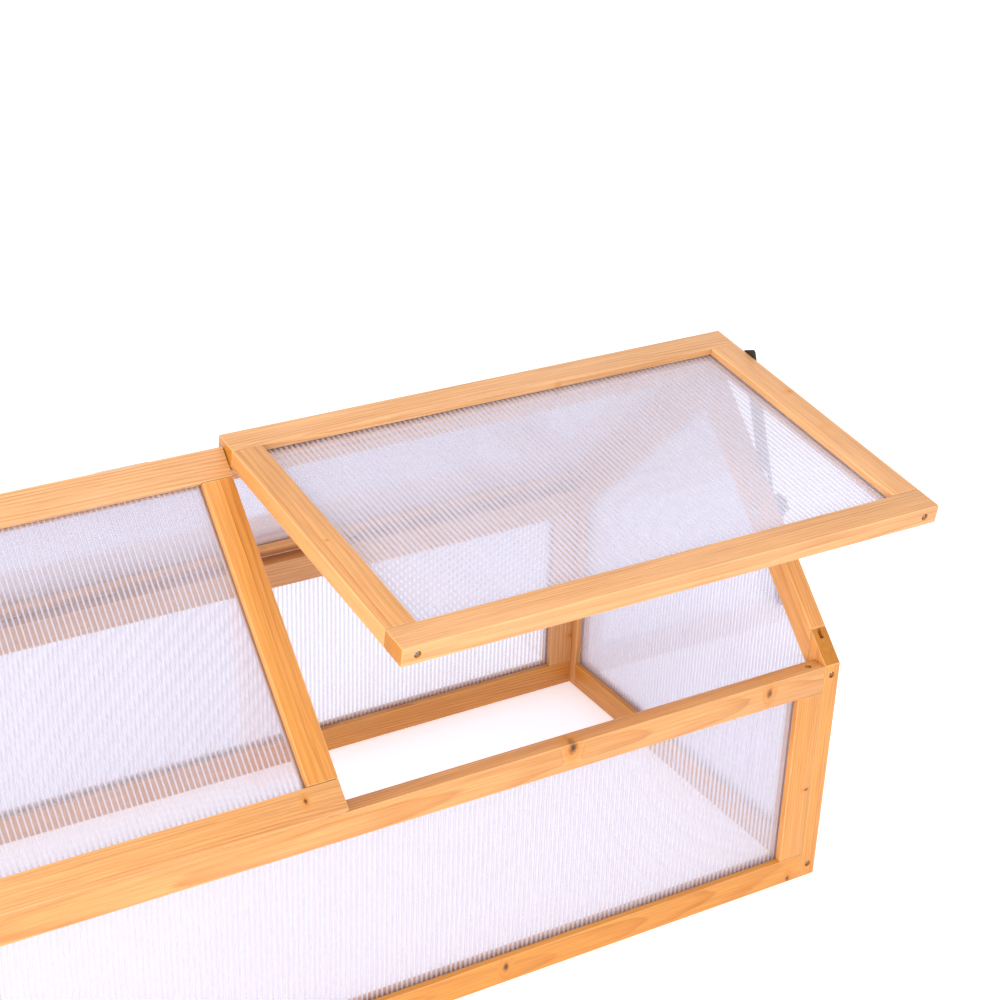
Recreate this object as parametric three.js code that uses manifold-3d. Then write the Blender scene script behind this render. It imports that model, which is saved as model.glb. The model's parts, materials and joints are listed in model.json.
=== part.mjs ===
// Cold frame: a low gabled greenhouse of softwood battens glazed with twin-wall sheet.
// Two lids side by side make the front roof slope and swing on the ridge; each is held at its
// angle by a slotted stay that a clamp knob grips against the end frame.
//
// Millimetres. +X runs along the ridge to the right, +Y from front to back, +Z up.
// The origin is the middle of the front wall's foot, where it stands on the ground.
// Shapes are worked out about the middle of the depth and moved to that origin at the end.
import * as THREE from 'three';
import { mergeVertices } from 'three/addons/utils/BufferGeometryUtils.js';
import Module from 'manifold-3d';

const wasm = await Module();
wasm.setup();

// Overall
const LENGTH = 1100; // over the two end frames
const DEPTH = 460; // over the front and back walls
const EAVES = 254; // top of the walls
const SLOPE = Math.PI / 4; // roof pitch

// Timber and sheet
const THICK = 18; // thickness of every batten
const BATTEN = 29; // width of rails, stiles and rafters
const POST = 28; // width of the end posts along the depth
const SHEET = 4; // twin-wall sheet
const GROOVE = 8; // depth of the grooves that hold the sheet
const FIT = 0.3; // gap between pieces that touch
const LID_GAP = 1; // between the two lids
const FRONT_LAP = 0.7; // lids' lower edge past the front wall, down the slope
const BACK_LAP = 4; // back roof's lower edge past the back wall

// Opening
const OPENING = THREE.MathUtils.degToRad(37.5); // how far the right lid stands open
const AXIS_RISE = 2.7; // height of the hinge pins over the roof's outer face

// Screws
const HEAD_HOLE_R = 3.4; // counterbore of the frame screws
const HEAD_HOLE_DEPTH = 4;
const OVERSHOOT = 1; // how far a cut runs past the faces it opens
const RAFTER_SCREW_DROP = 11.5; // post's upper screw below the wall top

// Butt hinges
const HINGE_LENGTH = 50;
const LEAF_WIDTH = 16;
const LEAF_THICK = 1;
const BARREL_R = 2.4;
const BORE_R = 1.2;
const PIN_R = 1.1;
const PIN_HEAD_R = 1.9;
const PIN_HEAD = 0.8;
const KNUCKLE = 20; // the lid's middle knuckle
const LEAF_HOLE_R = 1.8;
const LEAF_HOLE_INSET = 8; // screw hole from the leaf's end
const HINGE_INSET = 95; // hinge centre from the lid's end

// Lid stays
const STAY_DOWN_LID = 38; // pivot screw below the ridge edge of the roof plane
const CLAMP_DOWN_RAFTER = 153; // clamp bolt below the apex, along the rafter
const STAY_CLOSED = THREE.MathUtils.degToRad(32.4); // arm from the vertical, lid closed
const STAY_TURN = -0.31; // arm's turn for each unit the lid opens
const STAY_WIDTH = 18;
const STAY_THICK = 2;
const STAY_ABOVE = 14; // arm beyond the pivot screw
const STAY_BELOW = 246; // arm from the pivot screw to its lower end
const STAY_CORNER = 3.5;
const SLOT_TOP = 106;
const SLOT_END = 236;
const SLOT_WIDTH = 9;
const STAY_CLEAR = 0.6; // arm off the end frame's face
const BOLT_R = 2;
const BOLT_HEAD_R = 5.5;
const BOLT_HEAD = 2.4;
const BOLT_LENGTH = 30; // shank under the head
const PIVOT_R = 1.9;
const PIVOT_HEAD_R = 5;
const PIVOT_HEAD = 2.4;
const PIVOT_DEPTH = 14; // thread in the lid
const HOLE_EASE = 0.3; // radial play of a plain hole
const PILOT_SPARE = 1; // the lid's pilot hole past the pivot screw's tip
const HEAD_RIM = 0.4; // upright rim of a round head, as a share of its height
const HEAD_SHOULDER = { height: 0.85, radius: 0.7 }; // its shoulder, as shares of the head
const WASHER_R = 9;
const WASHER_THICK = 1.2;
const KNOB_R = 12;
const KNOB_LOBES = 6;
const KNOB_LOBE_STEPS = 8; // straight sides to each lobe
const KNOB_LOBE = 1.6; // height of the lobes
const KNOB_THICK = 12;
const KNOB_BORE = 10;

// How finely round shapes are cut
const HOLE_SIDES = 16;
const SMALL_HOLE_SIDES = 12;
const TURNED_SIDES = 20;
const WASHER_SIDES = 24;
const CURVE_STEPS = 6;

// Worked out from the sizes above
const HALF_L = LENGTH / 2;
const HALF_D = DEPTH / 2;
const APEX = EAVES + HALF_D; // rafter tops meet here
const DIAGONAL = Math.SQRT1_2; // sine and cosine of the slope
const RAFTER_LENGTH = HALF_D / Math.cos(SLOPE); // apex to wall, down the slope
const LID_REACH = RAFTER_LENGTH + FRONT_LAP; // apex to the lids' lower edge
const BACK_REACH = RAFTER_LENGTH + BACK_LAP; // apex to the back roof's lower edge
const LID_LENGTH = LID_REACH + THICK + FIT; // lids reach over the back roof's upper edge
const LID_WIDTH = HALF_L - LID_GAP / 2;
const OPEN_EDGE = BATTEN - GROOVE + FIT; // sheet's edge from the frame's outer edge
const AXIS = slopePoint(0, THICK + FIT + AXIS_RISE);

// Materials
const fir = { color: 0xe2ad6f, roughness: 0.6, metalness: 0 };
const sheet = { color: 0xe9e8f3, roughness: 0.25, metalness: 0, transparent: true, opacity: 0.5 };
const zinc = { color: 0xb9bcc0, roughness: 0.35, metalness: 0.9 };
const blackSteel = { color: 0x151517, roughness: 0.45, metalness: 0.4 };
const blackPlastic = { color: 0x1a1a1c, roughness: 0.55, metalness: 0 };

// A point given down the back slope from the apex and out from the rafters' top plane.
function slopePoint(down, out) {
  return new THREE.Vector3(0, (down + out) * DIAGONAL, APEX + (out - down) * DIAGONAL);
}

// The same for the front slope.
function frontPoint(down, out) {
  const point = slopePoint(down, out);
  point.y = -point.y;
  return point;
}

// ---- solids ----

function toSolid(geometry) {
  geometry.deleteAttribute('normal');
  geometry.deleteAttribute('uv');
  const merged = mergeVertices(geometry);
  return new wasm.Manifold(new wasm.Mesh({
    numProp: 3,
    vertProperties: merged.attributes.position.array,
    triVerts: merged.index.array,
  }));
}

function toGeometry(solid) {
  const mesh = solid.getMesh();
  const geometry = new THREE.BufferGeometry();
  geometry.setAttribute('position', new THREE.BufferAttribute(mesh.vertProperties, 3));
  geometry.setIndex(new THREE.BufferAttribute(mesh.triVerts, 1));
  geometry.computeVertexNormals();
  return geometry;
}

function block(x, y, z) {
  const geometry = new THREE.BoxGeometry(x[1] - x[0], y[1] - y[0], z[1] - z[0]);
  geometry.translate((x[0] + x[1]) / 2, (y[0] + y[1]) / 2, (z[0] + z[1]) / 2);
  return toSolid(geometry);
}

// An outline drawn in the YZ plane, drawn out along X.
function profile(shape, x) {
  const geometry = new THREE.ExtrudeGeometry(shape, {
    depth: x[1] - x[0],
    bevelEnabled: false,
    curveSegments: CURVE_STEPS,
  });
  const turn = new THREE.Matrix4().makeBasis(
    new THREE.Vector3(0, 1, 0),
    new THREE.Vector3(0, 0, 1),
    new THREE.Vector3(1, 0, 0),
  );
  geometry.applyMatrix4(turn);
  geometry.translate(x[0], 0, 0);
  return toSolid(geometry);
}

function polygon(points) {
  return new THREE.Shape(points.map(([y, z]) => new THREE.Vector2(y, z)));
}

// A round bar or drill from one point along a direction.
function rod(start, direction, radius, length, sides = HOLE_SIDES) {
  const geometry = new THREE.CylinderGeometry(radius, radius, length, sides);
  const up = new THREE.Vector3(0, 1, 0);
  geometry.translate(0, length / 2, 0);
  geometry.applyQuaternion(new THREE.Quaternion().setFromUnitVectors(up, direction));
  geometry.translate(start.x, start.y, start.z);
  return toSolid(geometry);
}

// A hole drilled right through a piece that lies between two X values.
function throughX(x, y, z, radius) {
  const start = new THREE.Vector3(x[0] - OVERSHOOT, y, z);
  return rod(start, ALONG_X, radius, x[1] - x[0] + 2 * OVERSHOOT);
}

// A turned piece along X from a closed list of [along, radius].
function turned(points, x, sides = TURNED_SIDES) {
  const outline = points.map(([along, radius]) => new THREE.Vector2(radius, along));
  const geometry = new THREE.LatheGeometry(outline, sides);
  geometry.rotateZ(-Math.PI / 2);
  geometry.translate(x, 0, 0);
  return geometry;
}

// A blind hole from a point on a face, along the drill's direction.
function blindHole(point, direction, radius, depth) {
  const start = point.clone().addScaledVector(direction, -OVERSHOOT);
  return rod(start, direction, radius, depth + OVERSHOOT);
}

// The hole that takes a frame screw's head.
function counterbore(x, y, z, direction) {
  return blindHole(new THREE.Vector3(x, y, z), direction, HEAD_HOLE_R, HEAD_HOLE_DEPTH);
}

const ALONG_X = new THREE.Vector3(1, 0, 0);
const ALONG_Y = new THREE.Vector3(0, 1, 0);
const ALONG_Z = new THREE.Vector3(0, 0, 1);

function piece(name, shape, look) {
  const geometry = shape.isBufferGeometry ? shape : toGeometry(shape);
  const mesh = new THREE.Mesh(geometry, new THREE.MeshStandardMaterial(look));
  mesh.name = name;
  return mesh;
}

// ---- a glazed frame of four battens ----

// Local frame: X across the middle, Y up from the lower edge, Z from the inner face outwards.
// ends are the names of the stiles at -X and +X. holes are further cuts by batten name.
function glazedFrame(name, width, height, ends, holes = {}) {
  const frame = new THREE.Group();
  const half = width / 2;
  const groove = [THICK / 2 - SHEET / 2 - FIT, THICK / 2 + SHEET / 2 + FIT];
  const slot = block(
    [-half + BATTEN - GROOVE, half - BATTEN + GROOVE],
    [BATTEN - GROOVE, height - BATTEN + GROOVE],
    groove,
  );
  const screwX = half - BATTEN / 2;

  const battens = {
    bottom_rail: block([-half, half], [0, BATTEN], [0, THICK]),
    top_rail: block([-half, half], [height - BATTEN, height], [0, THICK]),
  };
  for (const x of [-screwX, screwX]) {
    const low = counterbore(x, 0, THICK / 2, ALONG_Y);
    const high = counterbore(x, height, THICK / 2, ALONG_Y.clone().negate());
    battens.bottom_rail = battens.bottom_rail.subtract(low);
    battens.top_rail = battens.top_rail.subtract(high);
  }
  const rise = [BATTEN + FIT, height - BATTEN - FIT];
  battens[ends[0]] = block([-half, -half + BATTEN], rise, [0, THICK]);
  battens[ends[1]] = block([half - BATTEN, half], rise, [0, THICK]);

  for (const [part, solid] of Object.entries(battens)) {
    let cut = solid.subtract(slot);
    for (const hole of holes[part] ?? []) {
      cut = cut.subtract(hole);
    }
    frame.add(piece(`${name}_${part}`, cut, fir));
  }
  const glazing = block(
    [-half + OPEN_EDGE, half - OPEN_EDGE],
    [OPEN_EDGE, height - OPEN_EDGE],
    [THICK / 2 - SHEET / 2, THICK / 2 + SHEET / 2],
  );
  frame.add(piece(`${name}_panel`, glazing, sheet));
  return frame;
}

const LEFT_RIGHT = ['left_stile', 'right_stile'];
const RIGHT_LEFT = ['right_stile', 'left_stile'];

function frontWall() {
  const wall = glazedFrame('front_wall', LENGTH - 2 * THICK - 2 * FIT, EAVES, LEFT_RIGHT);
  wall.rotation.x = Math.PI / 2;
  wall.position.y = -HALF_D + THICK;
  return wall;
}

// Turned half way round the vertical, so that its outer face looks back.
function facingBack(frame) {
  const turn = new THREE.Group();
  turn.rotation.z = Math.PI;
  turn.add(frame);
  return turn;
}

function backWall() {
  const wall = glazedFrame('back_wall', LENGTH - 2 * THICK - 2 * FIT, EAVES, RIGHT_LEFT);
  wall.rotation.x = Math.PI / 2;
  wall.position.y = -HALF_D + THICK;
  return facingBack(wall);
}

// ---- roof ----

// A glazed frame laid on the front slope, its lower edge at a distance down from the apex.
function onFrontSlope(frame, x, reach) {
  frame.rotation.x = SLOPE;
  frame.position.copy(frontPoint(reach, FIT));
  frame.position.x = x;
  return frame;
}

function backRoof() {
  const roof = glazedFrame('back_roof', LENGTH, BACK_REACH - FIT, RIGHT_LEFT);
  return facingBack(onFrontSlope(roof, 0, BACK_REACH));
}

// A lid in its closed place. The stay's screw goes into the edge of its outer stile.
function closedLid(side, sign) {
  const stile = `${side}_stile`;
  const edge = new THREE.Vector3(sign * LID_WIDTH / 2, LID_REACH - STAY_DOWN_LID, THICK / 2);
  const inwards = ALONG_X.clone().multiplyScalar(-sign);
  const pilot = blindHole(edge, inwards, PIVOT_R + HOLE_EASE, PIVOT_DEPTH + PILOT_SPARE);
  const lid = glazedFrame(`${side}_lid`, LID_WIDTH, LID_LENGTH, LEFT_RIGHT, { [stile]: [pilot] });
  return onFrontSlope(lid, sign * (LID_GAP / 2 + LID_WIDTH / 2), LID_REACH);
}

// Everything that swings with a lid, turned about the hinge pins.
function swung(opening, ...parts) {
  const swing = new THREE.Group();
  swing.position.copy(AXIS);
  swing.rotation.x = -opening;
  const shift = new THREE.Group();
  shift.position.copy(AXIS).negate();
  shift.add(...parts);
  swing.add(shift);
  return swing;
}

// ---- hinges ----

// Local frame: X along the pin, Y down the slope that the leaf lies on, Z off the roof.
function leaf(knuckles) {
  const half = HINGE_LENGTH / 2;
  const flat = [-BARREL_R, -BARREL_R + LEAF_THICK];
  const clear = BARREL_R + 2 * FIT;
  let solid = block([-half, half], [clear, LEAF_WIDTH], flat);
  for (const [from, to] of knuckles) {
    const start = new THREE.Vector3(from, 0, 0);
    const barrel = rod(start, ALONG_X, BARREL_R, to - from, TURNED_SIDES);
    const tab = block([from, to], [0, clear + FIT], flat);
    solid = solid.add(barrel).add(tab);
  }
  solid = solid.subtract(throughX([-half, half], 0, 0, BORE_R));
  const screwX = half - LEAF_HOLE_INSET;
  const through = LEAF_THICK + 2 * OVERSHOOT;
  for (const x of [-screwX, screwX]) {
    const start = new THREE.Vector3(x, (clear + LEAF_WIDTH) / 2, flat[0] - OVERSHOOT);
    solid = solid.subtract(rod(start, ALONG_Z, LEAF_HOLE_R, through, SMALL_HOLE_SIDES));
  }
  return solid;
}

function pinGeometry() {
  const half = HINGE_LENGTH / 2 + FIT;
  const outline = [
    [-half - PIN_HEAD, 0],
    [-half - PIN_HEAD, PIN_HEAD_R],
    [-half, PIN_HEAD_R],
    [-half, PIN_R],
    [half, PIN_R],
    [half, PIN_HEAD_R],
    [half + PIN_HEAD, PIN_HEAD_R],
    [half + PIN_HEAD, 0],
  ];
  return turned(outline, 0, HOLE_SIDES);
}

// Placed at the pins, with Y down the back slope; turned by half a turn for the lid's leaf.
function atAxis(mesh, x, flip) {
  const place = new THREE.Group();
  place.position.copy(AXIS);
  place.position.x = x;
  place.rotation.x = -SLOPE;
  if (flip) {
    const turn = new THREE.Group();
    turn.rotation.z = Math.PI;
    turn.add(mesh);
    place.add(turn);
  } else {
    place.add(mesh);
  }
  return place;
}

function hinge(name, x) {
  const half = HINGE_LENGTH / 2;
  const middle = KNUCKLE / 2;
  const frameLeaf = leaf([[-half, -middle - FIT], [middle + FIT, half]]);
  const lidLeaf = leaf([[-middle, middle]]);
  return {
    fixed: [
      atAxis(piece(`${name}_frame_leaf`, frameLeaf, zinc), x, false),
      atAxis(piece(`${name}_pin`, pinGeometry(), zinc), x, false),
    ],
    moving: atAxis(piece(`${name}_lid_leaf`, lidLeaf, zinc), x, true),
  };
}

// ---- end frames ----

// sign is +1 for the end at +X. Outlines are in the YZ plane.
function endFrame(side, sign) {
  const group = new THREE.Group();
  const outer = sign * HALF_L;
  const inner = sign * (HALF_L - THICK);
  const x = [Math.min(outer, inner), Math.max(outer, inner)];
  const middle = (outer + inner) / 2;
  const slotX = [middle - SHEET / 2 - FIT, middle + SHEET / 2 + FIT];
  const postInner = HALF_D - POST; // post's inner face
  const deep = BATTEN / Math.cos(SLOPE); // rafter's depth on a plumb line
  const grooveDeep = GROOVE / Math.cos(SLOPE);
  const underside = APEX - deep; // rafters' lower edges meet here

  for (const [face, way] of [['front', -1], ['back', 1]]) {
    const wall = way * HALF_D;
    const back = way * postInner;
    const order = (points) => (way < 0 ? points : points.slice().reverse());
    let post = profile(polygon(order([
      [wall, 0],
      [back, 0],
      [back, EAVES + POST],
      [wall, EAVES],
    ])), x);
    const slotY = [back, back + way * GROOVE].sort((a, b) => a - b);
    post = post.subtract(block(slotX, slotY, [BATTEN - GROOVE, APEX]));
    const inwards = ALONG_Y.clone().multiplyScalar(-way);
    for (const z of [BATTEN / 2, EAVES - RAFTER_SCREW_DROP]) {
      post = post.subtract(counterbore(middle, wall, z, inwards));
    }
    group.add(piece(`${side}_end_${face}_post`, post, fir));

    const foot = way * (postInner - FIT);
    const head = way * (FIT / 2);
    const rafterTop = (y) => APEX - Math.abs(y);
    let rafter = profile(polygon(order([
      [foot, rafterTop(foot) - deep],
      [head, rafterTop(head) - deep],
      [head, rafterTop(head)],
      [foot, rafterTop(foot)],
    ])), x);
    const past = foot + way * OVERSHOOT;
    const slot = profile(polygon(order([
      [past, rafterTop(past) - deep - OVERSHOOT],
      [0, underside - OVERSHOOT],
      [0, underside + grooveDeep],
      [past, rafterTop(past) - deep + grooveDeep],
    ])), slotX);
    rafter = rafter.subtract(slot);
    if (way < 0) {
      const clamp = frontPoint(CLAMP_DOWN_RAFTER, -BATTEN / 2);
      rafter = rafter.subtract(throughX(x, clamp.y, clamp.z, BOLT_R + HOLE_EASE));
    }
    group.add(piece(`${side}_end_${face}_rafter`, rafter, fir));
  }

  const reach = postInner - FIT;
  const railSlot = block(
    slotX,
    [-reach - OVERSHOOT, reach + OVERSHOOT],
    [BATTEN - GROOVE, BATTEN + OVERSHOOT],
  );
  const rail = block(x, [-reach, reach], [0, BATTEN]).subtract(railSlot);
  group.add(piece(`${side}_end_bottom_rail`, rail, fir));

  const edge = postInner + GROOVE - FIT;
  const glassX = [middle - SHEET / 2, middle + SHEET / 2];
  const peak = underside + grooveDeep - FIT / Math.cos(SLOPE);
  const glazing = profile(polygon([
    [-edge, OPEN_EDGE],
    [edge, OPEN_EDGE],
    [edge, peak - edge],
    [0, peak],
    [-edge, peak - edge],
  ]), glassX);
  group.add(piece(`${side}_end_panel`, glazing, sheet));
  return group;
}

// ---- lid stays ----

function roundedBar(half, top, bottom, corner) {
  const bar = new THREE.Shape();
  bar.moveTo(-half + corner, bottom);
  bar.lineTo(half - corner, bottom);
  bar.absarc(half - corner, bottom + corner, corner, -Math.PI / 2, 0);
  bar.lineTo(half, top - corner);
  bar.absarc(half - corner, top - corner, corner, 0, Math.PI / 2);
  bar.lineTo(-half + corner, top);
  bar.absarc(-half + corner, top - corner, corner, Math.PI / 2, Math.PI);
  bar.lineTo(-half, bottom + corner);
  bar.absarc(-half + corner, bottom + corner, corner, Math.PI, 1.5 * Math.PI);
  return bar;
}

// A slot with round ends.
function roundSlot(half, top, bottom) {
  const slot = new THREE.Shape();
  slot.absarc(0, bottom + half, half, Math.PI, 2 * Math.PI);
  slot.absarc(0, top - half, half, 0, Math.PI);
  return slot;
}

// Local frame: pivot screw at the origin, the arm running down -Z, thickness from x[0] to x[1].
function stayArm(x) {
  const past = [x[0] - OVERSHOOT, x[1] + OVERSHOOT];
  const bar = profile(roundedBar(STAY_WIDTH / 2, STAY_ABOVE, -STAY_BELOW, STAY_CORNER), x);
  const slot = profile(roundSlot(SLOT_WIDTH / 2, -SLOT_TOP, -SLOT_END), past);
  return bar.subtract(slot).subtract(throughX(x, 0, 0, PIVOT_R + HOLE_EASE));
}

// Profile of a round-headed fastener: the shank from 0 inwards, the head outwards.
function roundHead(shankR, length, headR, head) {
  return [
    [-length, 0],
    [-length, shankR],
    [0, shankR],
    [0, headR],
    [head * HEAD_RIM, headR],
    [head * HEAD_SHOULDER.height, headR * HEAD_SHOULDER.radius],
    [head, 0],
  ];
}

// A fastener along X whose head looks towards sign.
function fastener(outline, x, sign) {
  const geometry = turned(outline, 0);
  if (sign < 0) {
    geometry.rotateZ(Math.PI);
  }
  geometry.translate(x, 0, 0);
  return geometry;
}

function knobSolid(from, to) {
  const outline = new THREE.Shape();
  const steps = KNOB_LOBES * KNOB_LOBE_STEPS;
  for (let step = 0; step < steps; step += 1) {
    const angle = (step / steps) * 2 * Math.PI;
    const radius = KNOB_R - KNOB_LOBE + KNOB_LOBE * Math.cos(KNOB_LOBES * angle);
    const point = [radius * Math.cos(angle), radius * Math.sin(angle)];
    if (step === 0) {
      outline.moveTo(...point);
    } else {
      outline.lineTo(...point);
    }
  }
  const low = Math.min(from, to);
  const high = Math.max(from, to);
  const sign = Math.sign(to - from);
  const inwards = ALONG_X.clone().multiplyScalar(sign);
  const bore = blindHole(new THREE.Vector3(from, 0, 0), inwards, BOLT_R + HOLE_EASE, KNOB_BORE);
  return profile(outline, [low, high]).subtract(bore);
}

function washerGeometry(x) {
  const hole = BOLT_R + HOLE_EASE;
  const outline = [
    [0, hole],
    [0, WASHER_R],
    [WASHER_THICK, WASHER_R],
    [WASHER_THICK, hole],
    [0, hole],
  ];
  return turned(outline, x, WASHER_SIDES);
}

function placed(mesh, point) {
  mesh.position.y = point.y;
  mesh.position.z = point.z;
  return mesh;
}

function lidStay(side, sign, opening) {
  const pivot = frontPoint(STAY_DOWN_LID, FIT + THICK / 2);
  const clamp = frontPoint(CLAMP_DOWN_RAFTER, -BATTEN / 2);
  const face = sign * (HALF_L + STAY_CLEAR);
  const outside = face + sign * STAY_THICK;
  const armX = [Math.min(face, outside), Math.max(face, outside)];

  const arm = piece(`${side}_stay_arm`, stayArm(armX), blackSteel);
  // The lid's swing turns the arm too, so only the rest of its turn is given here.
  arm.rotation.x = -(STAY_CLOSED + STAY_TURN * opening) + opening;

  const shank = PIVOT_DEPTH + STAY_THICK + STAY_CLEAR;
  const screwShape = roundHead(PIVOT_R, shank, PIVOT_HEAD_R, PIVOT_HEAD);
  const screwX = outside + sign * FIT;
  const screw = piece(`${side}_stay_pivot_screw`, fastener(screwShape, screwX, sign), blackSteel);

  const boltX = sign * (HALF_L - THICK - FIT);
  const boltShape = roundHead(BOLT_R, BOLT_LENGTH, BOLT_HEAD_R, BOLT_HEAD);
  const bolt = piece(`${side}_clamp_bolt`, fastener(boltShape, boltX, -sign), zinc);

  const washerX = outside + sign * FIT;
  const washerLow = Math.min(washerX, washerX + sign * WASHER_THICK);
  const washer = piece(`${side}_clamp_washer`, washerGeometry(washerLow), blackSteel);

  const knobX = washerX + sign * (WASHER_THICK + FIT);
  const knobShape = knobSolid(knobX, knobX + sign * KNOB_THICK);
  const knob = piece(`${side}_clamp_knob`, knobShape, blackPlastic);
  return {
    moving: [placed(arm, pivot), placed(screw, pivot)],
    fixed: [placed(bolt, clamp), placed(washer, clamp), placed(knob, clamp)],
  };
}

// ---- assembly ----

const coldFrame = new THREE.Group();
coldFrame.add(frontWall(), backWall(), backRoof());
coldFrame.add(endFrame('right', 1), endFrame('left', -1));

for (const [side, sign, opening] of [['right', 1, OPENING], ['left', -1, 0]]) {
  const places = [HINGE_INSET + LID_GAP / 2, HALF_L - HINGE_INSET];
  const hinges = places.map((x, i) => hinge(`${side}_lid_hinge_${i + 1}`, sign * x));
  const stay = lidStay(side, sign, opening);
  const leaves = hinges.map((item) => item.moving);
  coldFrame.add(swung(opening, closedLid(side, sign), ...leaves, ...stay.moving));
  coldFrame.add(...hinges.flatMap((item) => item.fixed), ...stay.fixed);
}

coldFrame.position.y = HALF_D - THICK / 2;

export default coldFrame;
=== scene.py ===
"""Looks of a wooden cold frame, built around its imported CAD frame.

Every batten and fitting is a softened copy of its CAD solid, every sheet is real twin-wall with
two skins and ribs, and the screws are made here. Lengths are metres in the frame's own axes.
"""
import json
import math
import random

import bmesh
import bpy
from mathutils import Matrix, Vector


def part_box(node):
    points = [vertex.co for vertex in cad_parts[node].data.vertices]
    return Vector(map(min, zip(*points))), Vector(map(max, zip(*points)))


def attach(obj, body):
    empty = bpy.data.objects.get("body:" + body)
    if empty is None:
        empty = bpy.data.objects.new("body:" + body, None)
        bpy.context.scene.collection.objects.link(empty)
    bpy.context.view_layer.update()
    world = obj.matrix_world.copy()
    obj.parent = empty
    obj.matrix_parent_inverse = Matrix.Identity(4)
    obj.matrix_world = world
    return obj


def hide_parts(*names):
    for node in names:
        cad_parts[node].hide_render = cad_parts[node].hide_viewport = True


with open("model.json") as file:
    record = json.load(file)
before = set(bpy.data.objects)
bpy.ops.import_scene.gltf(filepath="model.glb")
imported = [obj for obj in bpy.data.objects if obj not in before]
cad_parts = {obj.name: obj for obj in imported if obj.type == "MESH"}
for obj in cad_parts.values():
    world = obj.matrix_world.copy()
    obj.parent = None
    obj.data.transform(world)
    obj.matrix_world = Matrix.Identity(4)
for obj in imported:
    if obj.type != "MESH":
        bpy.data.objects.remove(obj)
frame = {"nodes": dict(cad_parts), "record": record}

MM = 0.001
UP = Vector((0, 0, 1))
RIGHT = Vector((1, 0, 0))
BACK = Vector((0, 1, 0))
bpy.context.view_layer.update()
body_of = {node: body for body, nodes in frame["record"]["behaviour"]["bodies"].items()
           for node in nodes}
slot_of = {part["node"]: part["material_slot"] for part in frame["record"]["subparts"]}

# Places worked out from the frame
left_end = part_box("left_end_bottom_rail")
MID_DEPTH = (left_end[0].y + left_end[1].y) / 2

# Timber
EDGE_ROUND = 0.9 * MM
# The two battens that shut the back eaves keep crisp edges, so that no light gets between them.
FINE_ROUND = 0.25 * MM
CLOSE_FITTED = ("back_wall_top_rail", "back_roof_bottom_rail")
RING_STEP = 3.1 * MM
# Knots by batten: place as shares of its box at rest (x, y, z), then the radius.
KNOTS = {
    "front_wall_top_rail": [((0.724, 0.0, 0.86), 6.5 * MM), ((0.937, 0.0, 0.62), 4.5 * MM)],
    "front_wall_bottom_rail": [((0.665, 0.0, 0.62), 4.5 * MM), ((0.985, 0.0, 0.15), 3.5 * MM)],
    "left_lid_bottom_rail": [((0.935, 0.4, 0.75), 2.5 * MM), ((0.30, 0.4, 0.5), 4.5 * MM)],
    "right_lid_top_rail": [((0.62, 0.0, 0.2), 3.0 * MM)],
    "right_lid_bottom_rail": [],
    "front_wall_right_stile": [((0.82, 0.0, 0.42), 2.5 * MM)],
    "right_lid_left_stile": [((0.5, 0.45, 0.6), 1.2 * MM)],
    "right_end_front_post": [],
    "right_end_front_rafter": [],
}
# How deep the stain took on some battens, from 0 to 1; the rest are by chance. The listed tones
# also hold painted light and shade: the back battens that stand in shade are made paler, and some
# shaded rails and posts deeper.
STAIN_AND_PAINTED_LIGHT_TONES = {
    "left_lid_top_rail": 0.0,
    "left_lid_bottom_rail": 0.4,
    "left_lid_right_stile": 0.85,
    "right_lid_top_rail": 0.1,
    "right_lid_bottom_rail": 0.25,
    "right_lid_right_stile": 0.15,
    "right_lid_left_stile": 0.5,
    "front_wall_top_rail": 0.5,
    "front_wall_bottom_rail": 1.0,
    "front_wall_right_stile": 0.8,
    "back_wall_top_rail": 0.1,
    "back_wall_right_stile": 0.2,
    "back_wall_bottom_rail": 0.9,
    "right_end_front_post": 0.85,
    "right_end_front_rafter": 0.6,
    "right_end_bottom_rail": 1.0,
    "right_end_back_post": 0.4,
}

# Fittings
FITTING_ROUND = 0.25 * MM
KNOB_ROUND = 0.9 * MM
FITTING_CREASE = 32
MERGE_WITHIN = 0.005 * MM
HULL_SLACK = 0.05 * MM

# Twin-wall sheet
FLUTE = 5.3 * MM
SKIN = 0.45 * MM
RIB = 0.4 * MM

# Screws. The slot and the profile (radius, height) are shares of the head.
HEAD_R = 3.1 * MM
HEAD_HIGH = 2.2 * MM
LEAF_HEAD_HIGH = 1.1 * MM
SLOT_HALF, SLOT_REACH, SLOT_DEEP = 0.15, 0.6, 0.25
HEAD_PROFILE = ((1.0, 0.0), (1.0, 0.35), (0.86, 0.8), (0.66, 1.0))
HEAD_HOLE_AREA = math.pi * (3.4 * MM) ** 2
TIMBER_THICK = 18 * MM
LEAF_REACH = 16 * MM
LEAF_SCREW_OUT = 9.5 * MM
LEAF_SCREW_APART = 34 * MM
LEAF_FACE = 1.4 * MM

# Floor and lights: name, place, target, size, power, colour
FLOOR_SIZE = 14
FLOOR_DROP = 0.6 * MM
LIGHTS = (
    ("front_soft", (-2.2, -3.0, 1.3), (0, 0.1, 0.3), (2.6, 1.8), 64, (1.0, 0.97, 0.94)),
    ("left_soft", (-3.3, -0.5, 1.1), (0.2, 0.2, 0.25), (2.2, 1.6), 62, (1.0, 0.97, 0.94)),
    ("top_soft", (0.6, 0.4, 3.4), (0, 0.2, 0.3), (3.0, 3.0), 24, (1.0, 0.98, 0.98)),
)

# Camera
CAMERA_PLACE = (-0.7068, MID_DEPTH - 1.5984, 1.3241)
CAMERA_YAW = 30.81
CAMERA_PITCH = -29.74
CAMERA_ROLL = 1.55
CAMERA_LENS = 77.3
CAMERA_SHIFT = (0.044, 0.125)


# ---- node helpers ----

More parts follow.
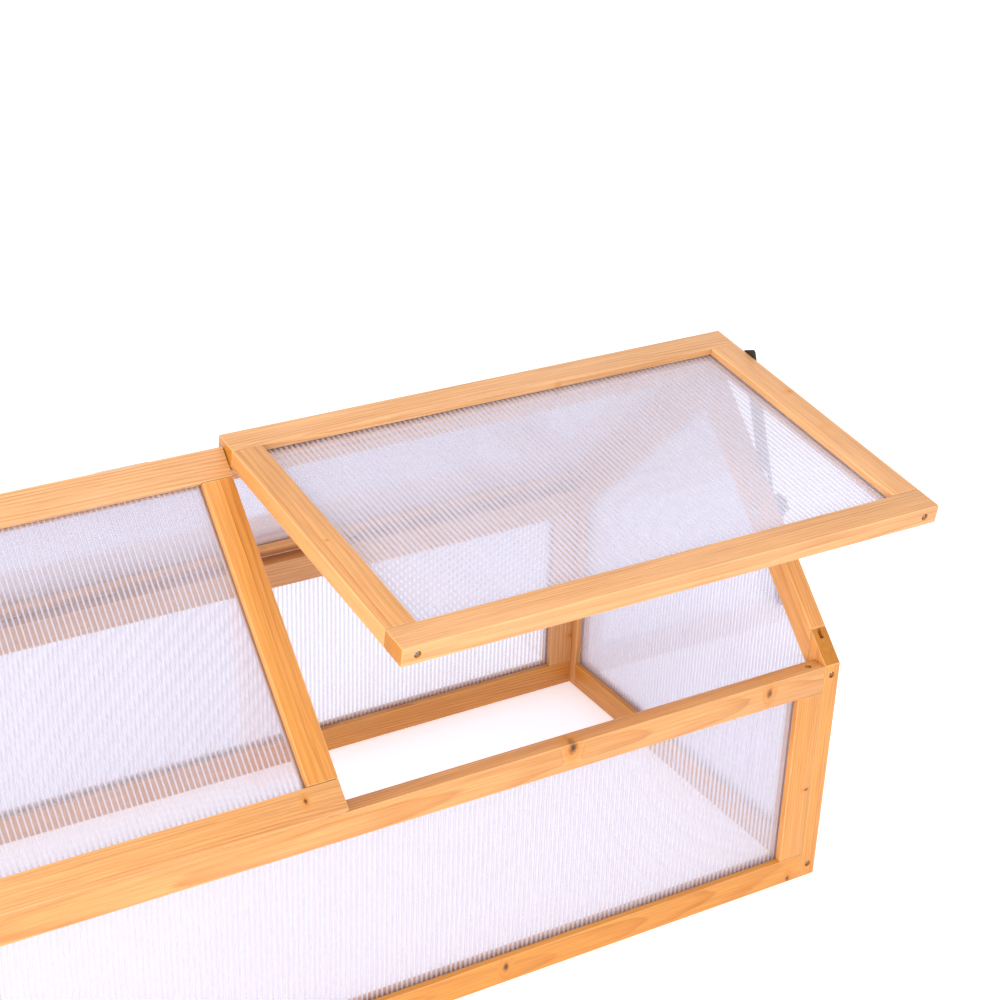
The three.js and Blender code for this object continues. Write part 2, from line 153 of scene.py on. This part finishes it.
class Nodes:
    """A material's node tree with short calls for the nodes used here."""

    def __init__(self, name):
        self.material = bpy.data.materials.new(name)
        self.material.use_nodes = True
        self.tree = self.material.node_tree
        self.tree.nodes.clear()

    def add(self, kind, inputs=None, **settings):
        node = self.tree.nodes.new(kind)
        for key, value in settings.items():
            setattr(node, key, value)
        for key, value in (inputs or {}).items():
            self.put(node.inputs[key], value)
        return node

    def put(self, socket, value):
        if isinstance(value, bpy.types.NodeSocket):
            self.tree.links.new(value, socket)
        else:
            socket.default_value = value

    def math(self, operation, a, b=None, clamp=False):
        node = self.add("ShaderNodeMath", {0: a}, operation=operation, use_clamp=clamp)
        if b is not None:
            self.put(node.inputs[1], b)
        return node.outputs[0]

    def vector(self, operation, a, b=None):
        node = self.add("ShaderNodeVectorMath", {0: a}, operation=operation)
        if b is not None:
            self.put(node.inputs[1], b)
        return node.outputs["Value" if operation == "LENGTH" else "Vector"]

    def scaled(self, vector, scale):
        return self.vector("MULTIPLY", vector, scale)

    def attribute(self, name, output="Vector"):
        return self.add("ShaderNodeAttribute", attribute_name=name).outputs[output]

    def noise(self, vector, detail=2.0, roughness=0.5):
        node = self.add("ShaderNodeTexNoise",
                        {"Vector": vector, "Scale": 1.0, "Detail": detail,
                         "Roughness": roughness})
        return node.outputs[0]

    def ramp(self, value, stops):
        node = self.add("ShaderNodeValToRGB", {"Fac": value})
        elements = node.color_ramp.elements
        while len(elements) < len(stops):
            elements.new(0.5)
        for element, (position, colour) in zip(elements, stops):
            element.position = position
            element.color = (*colour, 1)
        return node.outputs["Color"]

    def level(self, value, low, high, to_low=0.0, to_high=1.0):
        node = self.add("ShaderNodeMapRange",
                        {"Value": value, "From Min": low, "From Max": high,
                         "To Min": to_low, "To Max": to_high})
        return node.outputs[0]

    def mix(self, factor, a, b, blend="MIX"):
        node = self.add("ShaderNodeMix", data_type="RGBA", blend_type=blend)
        self.put(node.inputs[0], factor)
        self.put(node.inputs[6], a)
        self.put(node.inputs[7], b)
        return node.outputs[2]

    def bump(self, height, distance, strength):
        node = self.add("ShaderNodeBump",
                        {"Height": height, "Distance": distance, "Strength": strength})
        return node.outputs["Normal"]

    def finish(self, shader):
        output = self.add("ShaderNodeOutputMaterial")
        self.tree.links.new(shader, output.inputs["Surface"])
        return self.material


def grey(level):
    return (level, level, level)


# ---- materials ----

def fir_material():
    """Planed fir with a thin honey stain: rings, fibres, knots, end grain and softened edges."""
    n = Nodes("fir")
    grain = n.attribute("grain")
    pith = n.attribute("pith")
    tone = n.attribute("tone", "Fac")
    end = n.attribute("end_grain", "Fac")
    edge = n.attribute("edge", "Fac")
    knot_a = n.vector("LENGTH", n.attribute("knot_a"))
    knot_b = n.vector("LENGTH", n.attribute("knot_b"))
    knot = n.math("MINIMUM", knot_a, knot_b)

    # The grain runs along x and wanders slowly, and bends round a knot.
    sway = n.noise(n.scaled(grain, (2.2, 16, 16)), detail=2.0)
    wobble = n.noise(n.scaled(grain, (9, 70, 70)), detail=2.0)
    bend = n.level(knot, 0.7, 3.0, 1.0, 0.0)
    bend = n.math("POWER", bend, 2.0)
    rings = n.math("DIVIDE", n.vector("LENGTH", pith), RING_STEP)
    rings = n.math("ADD", rings, n.math("MULTIPLY", sway, 5.0))
    rings = n.math("ADD", rings, n.math("MULTIPLY", wobble, 0.8))
    rings = n.math("ADD", rings, n.math("MULTIPLY", bend, 2.2))
    season = n.math("FRACT", rings)
    late = n.ramp(season, [(0.0, grey(0.05)), (0.45, grey(0.18)), (0.8, grey(0.75)),
                           (0.93, grey(1.0)), (1.0, grey(0.05))])
    # Rings differ in strength, and fade in places.
    strength = n.noise(n.scaled(grain, (1.5, 90, 90)), detail=1.0)
    late = n.math("MULTIPLY", late, n.level(strength, 0.3, 0.7, 0.25, 1.0))

    fibre = n.noise(n.scaled(grain, (16, 850, 850)), detail=3.0, roughness=0.65)
    streak = n.noise(n.scaled(grain, (5, 260, 260)), detail=2.0)
    cloud = n.noise(n.scaled(grain, (6, 22, 22)), detail=2.0)

    colour = n.mix(n.math("MULTIPLY", late, 0.85),
                   (0.775, 0.385, 0.088, 1), (0.47, 0.155, 0.018, 1))
    colour = n.mix(n.level(streak, 0.35, 0.75, 0.0, 0.4), colour, (0.57, 0.225, 0.035, 1))
    colour = n.mix(n.level(cloud, 0.4, 0.75, 0.0, 0.5), colour, (0.80, 0.42, 0.12, 1))
    colour = n.mix(n.level(fibre, 0.32, 0.62, 0.45, 0.0), colour, (0.36, 0.13, 0.025, 1))
    # Tone per batten, paler or deeper: partly real stain, partly painted light and shade (shaded
    # battens made paler, some shaded rails and posts deeper).
    pale = n.mix(1.0, colour, (1.0, 1.10, 2.1, 1), "MULTIPLY")
    deep = n.mix(1.0, colour, (0.95, 0.80, 0.50, 1), "MULTIPLY")
    colour = n.mix(tone, pale, deep)

    # Knots: a dark heart with a ragged edge, and an orange halo.
    speck = n.noise(n.scaled(grain, (260, 260, 260)), detail=2.0)
    ragged = n.math("ADD", knot, n.math("MULTIPLY", n.math("SUBTRACT", speck, 0.5), 0.9))
    colour = n.mix(n.level(ragged, 0.8, 2.6, 0.8, 0.0), colour, (0.62, 0.235, 0.028, 1))
    colour = n.mix(n.level(ragged, 0.45, 1.1, 0.9, 0.0), colour, (0.25, 0.075, 0.010, 1))
    colour = n.mix(n.level(ragged, 0.15, 0.5, 0.9, 0.0), colour, (0.055, 0.016, 0.004, 1))

    cut = n.mix(n.math("MULTIPLY", late, 0.7), (0.50, 0.185, 0.006, 1), (0.32, 0.095, 0.003, 1))
    cut = n.mix(n.level(speck, 0.35, 0.7, 0.0, 0.35), cut, (0.27, 0.08, 0.003, 1))
    colour = n.mix(n.math("MULTIPLY", end, 0.92), colour, cut)
    colour = n.mix(n.math("MULTIPLY", edge, 0.25), colour, (0.90, 0.60, 0.30, 1))

    height = n.math("ADD", n.math("MULTIPLY", fibre, 0.35), n.math("MULTIPLY", late, 0.5))
    saw = n.noise(n.scaled(grain, (900, 60, 60)), detail=1.0)
    height = n.math("ADD", height, n.math("MULTIPLY", saw, 0.12))
    normal = n.bump(height, 0.00022, 0.55)
    roughness = n.level(n.math("ADD", fibre, late), 0.4, 1.5, 0.46, 0.62)
    shader = n.add("ShaderNodeBsdfPrincipled",
                   {"Base Color": colour, "Roughness": roughness, "Normal": normal,
                    "Specular IOR Level": 0.4, "Coat Weight": 0.22, "Coat Roughness": 0.3})
    return n.finish(shader.outputs[0])


def sheet_material():
    """Clear twin-wall plastic: each layer is mostly clear, a little milky, and glossy.
    The moulded flutes show as one soft pale line each."""
    n = Nodes("twin_wall")
    place = n.attribute("grain")
    rib = n.attribute("rib", "Fac")
    flute = n.attribute("flute", "Fac")
    wave = n.math("COSINE", n.math("MULTIPLY", flute, 2 * math.pi))
    line = n.math("POWER", n.level(wave, -1, 1), 7.0)
    smear = n.noise(n.scaled(place, (4, 22, 4)), detail=2.0, roughness=0.6)
    milky = n.math("ADD", n.level(smear, 0.3, 0.75, 0.04, 0.075), n.math("MULTIPLY", line, 0.22))
    milky = n.math("ADD", milky, n.math("MULTIPLY", rib, 0.30), clamp=True)

    clear = n.add("ShaderNodeBsdfTransparent", {"Color": (0.956, 0.953, 0.970, 1)})
    haze = n.add("ShaderNodeBsdfTranslucent", {"Color": (0.90, 0.893, 0.950, 1)})
    face = n.add("ShaderNodeBsdfDiffuse", {"Color": (0.90, 0.893, 0.950, 1)})
    gloss = n.add("ShaderNodeBsdfGlossy", {"Color": (1, 1, 1, 1), "Roughness": 0.09})
    cloud = n.add("ShaderNodeMixShader", {0: 0.5, 1: haze.outputs[0], 2: face.outputs[0]})
    body = n.add("ShaderNodeMixShader", {0: milky, 1: clear.outputs[0], 2: cloud.outputs[0]})
    # Thin layers don't bend light, so the mirror share is the same from both sides.
    facing = n.add("ShaderNodeLayerWeight", {"Blend": 0.5}).outputs["Facing"]
    shine = n.math("ADD", n.math("MULTIPLY", n.math("POWER", facing, 5.0), 0.9), 0.045)
    shader = n.add("ShaderNodeMixShader", {0: shine, 1: body.outputs[0], 2: gloss.outputs[0]})
    return n.finish(shader.outputs[0])


def metal_material(name, colour, roughness, spangle):
    """Plated or bare steel with a cloudy plating and fine scratches."""
    n = Nodes(name)
    place = n.add("ShaderNodeTexCoord").outputs["Object"]
    cloud = n.noise(n.scaled(place, (160, 160, 160)), detail=2.0)
    scratch = n.noise(n.scaled(place, (120, 2600, 2600)), detail=2.0)
    dark = tuple(c * (1 - spangle) for c in colour)
    tint = n.mix(n.level(cloud, 0.35, 0.65), (*colour, 1), (*dark, 1))
    rough = n.level(n.math("ADD", cloud, scratch), 0.6, 1.4, roughness - 0.08, roughness + 0.12)
    normal = n.bump(scratch, 0.00005, 0.4)
    shader = n.add("ShaderNodeBsdfPrincipled",
                   {"Base Color": tint, "Metallic": 1.0, "Roughness": rough, "Normal": normal})
    return n.finish(shader.outputs[0])


def black_material(name, colour, roughness, grain_size, depth):
    """Black powder coat or moulded plastic: a fine pebbled skin, paler where it is handled."""
    n = Nodes(name)
    place = n.add("ShaderNodeTexCoord").outputs["Object"]
    edge = n.attribute("edge", "Fac")
    pebble = n.noise(n.scaled(place, grey(1 / grain_size)), detail=2.0)
    wear = n.noise(n.scaled(place, (90, 90, 90)), detail=3.0)
    worn = n.math("MULTIPLY", edge, n.level(wear, 0.45, 0.65, 0.1, 0.6))
    paler = tuple(min(1, c * 3.2) for c in colour)
    tint = n.mix(worn, (*colour, 1), (*paler, 1))
    normal = n.bump(pebble, depth, 0.6)
    rough = n.level(pebble, 0.3, 0.7, roughness - 0.06, roughness + 0.08)
    shader = n.add("ShaderNodeBsdfPrincipled",
                   {"Base Color": tint, "Roughness": rough, "Normal": normal})
    return n.finish(shader.outputs[0])


materials = {
    "fir": fir_material(),
    "twin_wall_sheet": sheet_material(),
    "zinc_steel": metal_material("zinc_steel", (0.66, 0.67, 0.69), 0.34, 0.16),
    "screw_steel": metal_material("screw_steel", (0.62, 0.61, 0.58), 0.3, 0.25),
    "black_steel": black_material("black_steel", (0.014, 0.014, 0.016), 0.42, 0.5 * MM, 0.00006),
    "black_plastic": black_material("black_plastic", (0.018, 0.018, 0.02), 0.5, 0.8 * MM, 0.0001),
}


# ---- mesh helpers ----

def put_vectors(mesh, name, values):
    attribute = mesh.attributes.new(name, "FLOAT_VECTOR", "POINT")
    attribute.data.foreach_set("vector", [c for v in values for c in v])


def put_faces(mesh, name, values):
    attribute = mesh.attributes.new(name, "FLOAT", "FACE")
    attribute.data.foreach_set("value", values)


def put_points(mesh, name, value):
    attribute = mesh.attributes.new(name, "FLOAT", "POINT")
    attribute.data.foreach_set("value", [value] * len(mesh.vertices))


def on_hull(face, points):
    """True if the whole mesh lies behind the face, so it isn't in a groove or a hole."""
    middle = face.calc_center_median()
    return all((p - middle).dot(face.normal) < HULL_SLACK for p in points)


def softened(node, width, segments=2, angle=40, hull_only=False):
    """A bmesh copy of a CAD node with its flat faces merged and its sharp edges rounded.
    The rounded faces are marked 1 in the layer "edge". hull_only leaves grooves crisp."""
    bm = bmesh.new()
    bm.from_mesh(frame["nodes"][node].data)
    bmesh.ops.remove_doubles(bm, verts=bm.verts, dist=MERGE_WITHIN)
    bmesh.ops.dissolve_limit(bm, angle_limit=math.radians(1), verts=bm.verts, edges=bm.edges)
    sharp = [e for e in bm.edges
             if len(e.link_faces) == 2 and e.calc_face_angle() > math.radians(angle)]
    if hull_only:
        points = [v.co for v in bm.verts]
        outer = {f for f in bm.faces if on_hull(f, points)}
        sharp = [e for e in sharp if outer.issuperset(e.link_faces)]
    mark = bm.faces.layers.float.new("edge")
    if sharp and width:
        made = bmesh.ops.bevel(bm, geom=sharp, offset=width, offset_type="OFFSET",
                               segments=segments, profile=0.6, affect="EDGES",
                               clamp_overlap=True, loop_slide=True)
        for face in made["faces"]:
            face[mark] = 1.0
    for face in bm.faces:
        face.smooth = True
    bm.normal_update()
    return bm


def to_object(bm, name, material, node=None, body=None):
    mesh = bpy.data.meshes.new(name)
    bm.to_mesh(mesh)
    bm.free()
    mesh.materials.append(material)
    thing = bpy.data.objects.new(name, mesh)
    bpy.context.scene.collection.objects.link(thing)
    if node:
        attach(thing, body_of[node])
        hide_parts(node)
    else:
        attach(thing, body)
    return thing


def smooth_by_angle(mesh, angle=28):
    """Keeps an edge crisp where its faces turn by more than the angle."""
    bm = bmesh.new()
    bm.from_mesh(mesh)
    for edge in bm.edges:
        if len(edge.link_faces) == 2:
            edge.smooth = edge.calc_face_angle() < math.radians(angle)
    bm.to_mesh(mesh)
    bm.free()


# ---- timber ----

def timber_axes(bm):
    """Directions along, across and through a batten, from its longest edge and widest face."""
    longest = max(bm.edges, key=lambda e: e.calc_length())
    along = (longest.verts[1].co - longest.verts[0].co).normalized()
    if along[max(range(3), key=lambda i: abs(along[i]))] < 0:
        along = -along
    sides = [f for f in bm.faces if abs(f.normal.dot(along)) < 0.1]
    through = max(sides, key=lambda f: f.calc_area()).normal.copy()
    if through[max(range(3), key=lambda i: abs(through[i]))] < 0:
        through = -through
    return along, through.cross(along).normalized(), through


def knots_of(node, rng):
    """Knot centres in the frame and radii: those listed, or one or two by chance."""
    low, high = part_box(node)
    size = high - low
    places = KNOTS.get(node)
    if places is None:
        places = []
        for _ in range(rng.choice((0, 1, 1, 2))):
            share = tuple(rng.random() for _ in range(3))
            places.append((share, rng.uniform(1.5, 4.0) * MM))
    return [(low + Vector(size[i] * share[i] for i in range(3)), radius)
            for share, radius in places]


def timber(node, seed):
    rng = random.Random(seed)
    bm = softened(node, FINE_ROUND if node in CLOSE_FITTED else EDGE_ROUND, hull_only=True)
    along, across, through = timber_axes(bm)
    low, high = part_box(node)
    centre = (low + high) / 2
    offset = Vector([rng.uniform(-4, 4) for _ in range(3)])
    # The tree's pith lies outside the batten, so most faces show long arches and stripes.
    turn = rng.uniform(0, 2 * math.pi)
    reach = rng.uniform(26, 60) * MM
    pith = Vector((math.cos(turn) * reach, math.sin(turn) * reach))
    ends = [1.0 if abs(f.normal.dot(along)) > 0.6 else 0.0 for f in bm.faces]
    thing = to_object(bm, node + ".wood", materials["fir"], node=node)
    mesh = thing.data
    local = [Vector(((v.co - centre).dot(along), (v.co - centre).dot(across),
                     (v.co - centre).dot(through))) for v in mesh.vertices]
    put_vectors(mesh, "grain", [p + offset for p in local])
    put_vectors(mesh, "pith", [(0.06 * p.x, p.y - pith.x, p.z - pith.y) for p in local])
    knots = knots_of(node, rng)
    for slot, name in enumerate(("knot_a", "knot_b")):
        if slot < len(knots):
            place, radius = knots[slot]
            hub = Vector(((place - centre).dot(along), (place - centre).dot(across),
                          (place - centre).dot(through)))
            stretch = Vector((0.85, 1.35, 2.4)) * radius
        else:
            hub = Vector((9, 9, 9))
            stretch = Vector((1, 1, 1)) * MM
        put_vectors(mesh, name, [Vector(((p - hub)[i] / stretch[i] for i in range(3)))
                                 for p in local])
    put_points(mesh, "tone", STAIN_AND_PAINTED_LIGHT_TONES.get(node, rng.uniform(0.2, 0.8)))
    put_faces(mesh, "end_grain", ends)
    smooth_by_angle(mesh)


# ---- twin-wall sheet ----

def twin_wall(node, wide, long_way):
    """Two skins joined by ribs, open at the ends of the flutes.
    wide is the direction across the flutes and long_way the direction that they run."""
    data = frame["nodes"][node].data
    normal = wide.cross(long_way).normalized()
    points = [(v.co.dot(wide), v.co.dot(long_way), v.co.dot(normal)) for v in data.vertices]
    w_low, w_high = min(p[0] for p in points), max(p[0] for p in points)
    n_low, n_high = min(p[2] for p in points), max(p[2] for p in points)
    foot = min(p[1] for p in points)
    outline = sorted({(round(w, 5), round(l, 5)) for w, l, _ in points if l > foot + 1 * MM})

    def top(w):
        for (w0, l0), (w1, l1) in zip(outline, outline[1:]):
            if w0 <= w <= w1 and w1 > w0:
                return l0 + (l1 - l0) * (w - w0) / (w1 - w0)
        return outline[0][1] if w < outline[0][0] else outline[-1][1]

    count = max(1, round((w_high - w_low) / FLUTE))
    step = (w_high - w_low) / count
    bm = bmesh.new()
    rib_layer = bm.faces.layers.float.new("rib")

    def point(w, level, upper):
        l = top(w) if upper else foot
        return bm.verts.new(wide * w + long_way * l + normal * level)

    def face(corners, rib=0.0):
        made = bm.faces.new(corners)
        made[rib_layer] = rib
        made.smooth = False

    outer = []
    holes = []
    for i in range(count + 1):
        w = w_low + i * step
        outer.append([[point(w, n, upper) for n in (n_low, n_high)] for upper in (0, 1)])
    for i in range(count):
        left = w_low + i * step + (RIB / 2 if i else RIB)
        right = w_low + (i + 1) * step - (RIB / 2 if i < count - 1 else RIB)
        inside = (n_low + SKIN, n_high - SKIN)
        holes.append([[[point(w, n, upper) for n in inside] for w in (left, right)]
                      for upper in (0, 1)])
    for i in range(count):
        a, b = outer[i], outer[i + 1]
        face([a[0][0], b[0][0], b[1][0], a[1][0]])
        face([b[0][1], a[0][1], a[1][1], b[1][1]])
        (l0, r0), (l1, r1) = holes[i]
        face([l0[0], l1[0], r1[0], r0[0]])
        face([r0[1], r1[1], l1[1], l0[1]])
        face([l0[1], l1[1], l1[0], l0[0]], 1.0)
        face([r0[0], r1[0], r1[1], r0[1]], 1.0)
        for upper in (0, 1):
            (l, r) = holes[i][upper]
            for n in (0, 1):
                corners = [a[upper][n], b[upper][n], r[n], l[n]]
                face(corners if (n == 0) == (upper == 1) else corners[::-1])
            if i == 0:
                corners = [a[upper][0], l[0], l[1], a[upper][1]]
                face(corners if upper else corners[::-1])
            if i == count - 1:
                corners = [b[upper][0], b[upper][1], r[1], r[0]]
                face(corners if upper else corners[::-1])
            else:
                nl = holes[i + 1][upper][0]
                corners = [b[upper][0], nl[0], nl[1], b[upper][1], r[1], r[0]]
                face(corners if upper else corners[::-1])
    face([outer[0][0][1], outer[0][0][0], outer[0][1][0], outer[0][1][1]], 1.0)
    face([outer[-1][0][0], outer[-1][0][1], outer[-1][1][1], outer[-1][1][0]], 1.0)
    bmesh.ops.recalc_face_normals(bm, faces=bm.faces)
    thing = to_object(bm, node + ".sheet", materials["twin_wall_sheet"], node=node)
    mesh = thing.data
    shift = Vector((len(node) * 0.37, len(node) * 0.11, 0))
    put_vectors(mesh, "grain",
                [Vector((v.co.dot(long_way), v.co.dot(wide), v.co.dot(normal))) + shift
                 for v in mesh.vertices])
    flutes = mesh.attributes.new("flute", "FLOAT", "POINT")
    flutes.data.foreach_set("value", [(v.co.dot(wide) - w_low) / step for v in mesh.vertices])


# ---- build everything that stands for a CAD node ----

def lid_slope(side):
    """Up-slope direction of a lid as it lies at rest, along its outer stile."""
    bm = softened(f"{side}_lid_{side}_stile", 0)
    along = timber_axes(bm)[0]
    bm.free()
    return along if along.z > 0 else -along


def sheet_axes(node):
    if "_end_" in node:
        return BACK, UP
    if "_wall_" in node:
        return RIGHT, UP
    if node.startswith("back_roof"):
        return RIGHT, Vector((0, -1, 1)).normalized()
    return RIGHT, lid_slope(node.split("_")[0])


for index, node in enumerate(sorted(frame["nodes"])):
    kind = slot_of[node]
    if kind == "fir":
        timber(node, 100 + index)
    elif kind == "twin_wall_sheet":
        twin_wall(node, *sheet_axes(node))
    else:
        width = KNOB_ROUND if node.endswith("_knob") else FITTING_ROUND
        bm = softened(node, width, segments=3)
        thing = to_object(bm, node + ".part", materials[kind], node=node)
        smooth_by_angle(thing.data, FITTING_CREASE)


# ---- screws ----

def add_screw(bm, place, outwards, turn, radius=HEAD_R, height=HEAD_HIGH):
    """A round head with a cross recess, standing on a point and looking outwards."""
    across = outwards.orthogonal().normalized()
    across.rotate(Matrix.Rotation(turn, 3, outwards))
    beside = outwards.cross(across)
    half, reach = radius * SLOT_HALF, radius * SLOT_REACH
    quarter = [(reach, -half), (reach, half), (half, half)]
    corners = []
    for step in range(4):
        for x, y in quarter:
            for _ in range(step):
                x, y = -y, x
            corners.append(Vector((x, y)))
    cross = [point for a, b in zip(corners, corners[1:] + corners[:1])
             for point in (a, (a + b) / 2)]

    def ring(points, level):
        return [bm.verts.new(place + across * q.x + beside * q.y + outwards * level)
                for q in points]

    def circle(share):
        return [q.normalized() * radius * share for q in cross]

    rings = [ring(circle(share), height * rise) for share, rise in HEAD_PROFILE]
    rings += [ring(cross, height), ring([q * 0.55 for q in cross], height * SLOT_DEEP)]
    for low, high in zip(rings, rings[1:]):
        for i in range(len(low)):
            j = (i + 1) % len(low)
            bm.faces.new([low[i], low[j], high[j], high[i]])
    bm.faces.new(rings[0][::-1])
    bm.faces.new(rings[-1])


def counterbores(node):
    """Floors of a batten's screw holes: their middles and the ways out."""
    bm = softened(node, 0)
    floors = [(f.calc_center_median(), f.normal.copy()) for f in bm.faces
              if len(f.verts) > 10 and abs(f.calc_area() - HEAD_HOLE_AREA) < 0.1 * HEAD_HOLE_AREA]
    bm.free()
    return floors


def leaf_screws(node, pin):
    """Where the two screws stand on a hinge leaf, and the way they look."""
    bm = softened(node, 0)
    plate = max(bm.faces, key=lambda f: f.calc_area())
    normal = plate.normal.copy()
    on_plate = plate.verts[0].co.copy()
    points = [v.co.copy() for v in bm.verts]
    bm.free()
    low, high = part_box(pin)
    axis = (low + high) / 2
    away = normal.cross(RIGHT).normalized()
    if max((p - axis).dot(away) for p in points) < LEAF_REACH / 2:
        away = -away
    outwards = normal if (on_plate - axis).dot(normal) < 0 else -normal
    hole = axis + away * LEAF_SCREW_OUT - outwards * LEAF_FACE
    return [(hole + RIGHT * side * LEAF_SCREW_APART / 2, outwards) for side in (-1, 1)]


def roof_screws():
    """Screws down through the back roof's stiles into the rafters under them."""
    found = []
    outwards = Vector((0, 1, 1)).normalized()
    for side in ("left", "right"):
        low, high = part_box(f"back_roof_{side}_stile")
        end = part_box(f"{side}_end_back_rafter")
        x = (end[0].x + end[1].x) / 2
        top = Vector((x, (low.y + high.y) / 2, (low.z + high.z) / 2))
        surface = top + outwards * (TIMBER_THICK / 2)
        for share in (-0.33, 0.33):
            found.append((surface + Vector((0, -1, 1)) * (high.y - low.y) * share, outwards))
    return found


screws = {body: bmesh.new() for body in ("frame", "right_lid", "left_lid")}
turner = random.Random(7)
for node in sorted(frame["nodes"]):
    if slot_of[node] == "fir":
        for floor, outwards in counterbores(node):
            add_screw(screws[body_of[node]], floor, outwards, turner.uniform(0, math.pi))
    elif node.endswith("_leaf"):
        pin = node.replace("frame_leaf", "pin").replace("lid_leaf", "pin")
        for place, outwards in leaf_screws(node, pin):
            add_screw(screws[body_of[node]], place, outwards, turner.uniform(0, math.pi),
                      height=LEAF_HEAD_HIGH)
for place, outwards in roof_screws():
    add_screw(screws["frame"], place, outwards, turner.uniform(0, math.pi), height=LEAF_HEAD_HIGH)
for body, bm in screws.items():
    bmesh.ops.recalc_face_normals(bm, faces=bm.faces)
    for face in bm.faces:
        face.smooth = True
    thing = to_object(bm, body + "_screws", materials["screw_steel"], body=body)
    smooth_by_angle(thing.data, FITTING_CREASE)


# ---- stage, light and camera ----

def floor_and_world():
    n = Nodes("floor_paper")
    place = n.add("ShaderNodeTexCoord").outputs["Object"]
    tint = n.mix(n.noise(n.scaled(place, (3, 3, 3))), (0.93, 0.93, 0.94, 1), (0.95, 0.95, 0.955, 1))
    paper = n.add("ShaderNodeBsdfPrincipled",
                  {"Base Color": tint, "Roughness": 0.9, "Emission Color": (0.98, 0.98, 1, 1),
                   "Emission Strength": 0.36})
    material = n.finish(paper.outputs[0])
    bm = bmesh.new()
    bmesh.ops.create_grid(bm, x_segments=8, y_segments=8, size=FLOOR_SIZE)
    bmesh.ops.translate(bm, verts=bm.verts, vec=(0, 0, -FLOOR_DROP))
    mesh = bpy.data.meshes.new("floor")
    bm.to_mesh(mesh)
    bm.free()
    mesh.materials.append(material)
    floor = bpy.data.objects.new("floor", mesh)
    bpy.context.scene.collection.objects.link(floor)

    world = bpy.data.worlds.new("studio")
    world.use_nodes = True
    background = world.node_tree.nodes["Background"]
    background.inputs["Color"].default_value = (0.985, 0.985, 1.0, 1)
    background.inputs["Strength"].default_value = 1.0
    bpy.context.scene.world = world


def softbox(name, place, target, size, power, colour):
    light = bpy.data.lights.new(name, "AREA")
    light.shape = "RECTANGLE"
    light.size, light.size_y = size
    light.energy = power
    light.color = colour
    thing = bpy.data.objects.new(name, light)
    thing.location = place
    aim = Vector(target) - Vector(place)
    thing.rotation_euler = aim.to_track_quat("-Z", "Y").to_euler()
    bpy.context.scene.collection.objects.link(thing)


def camera():
    yaw, pitch, roll = (math.radians(a) for a in (CAMERA_YAW, CAMERA_PITCH, CAMERA_ROLL))
    ahead = Vector((math.sin(yaw) * math.cos(pitch), math.cos(yaw) * math.cos(pitch),
                    math.sin(pitch)))
    level = Vector((math.cos(yaw), -math.sin(yaw), 0))
    above = level.cross(ahead)
    right = math.cos(roll) * level + math.sin(roll) * above
    top = math.cos(roll) * above - math.sin(roll) * level
    data = bpy.data.cameras.new("camera")
    data.lens = CAMERA_LENS
    data.sensor_width = 36
    data.shift_x, data.shift_y = CAMERA_SHIFT
    data.clip_end = 60
    thing = bpy.data.objects.new("camera", data)
    thing.matrix_world = (Matrix.Translation(CAMERA_PLACE)
                          @ Matrix((right, top, -ahead)).transposed().to_4x4())
    bpy.context.scene.collection.objects.link(thing)
    bpy.context.scene.camera = thing


floor_and_world()
for light in LIGHTS:
    softbox(*light)
camera()

scene = bpy.context.scene
scene.view_settings.view_transform = "Standard"
scene.cycles.transparent_max_bounces = 64
scene.cycles.max_bounces = 12
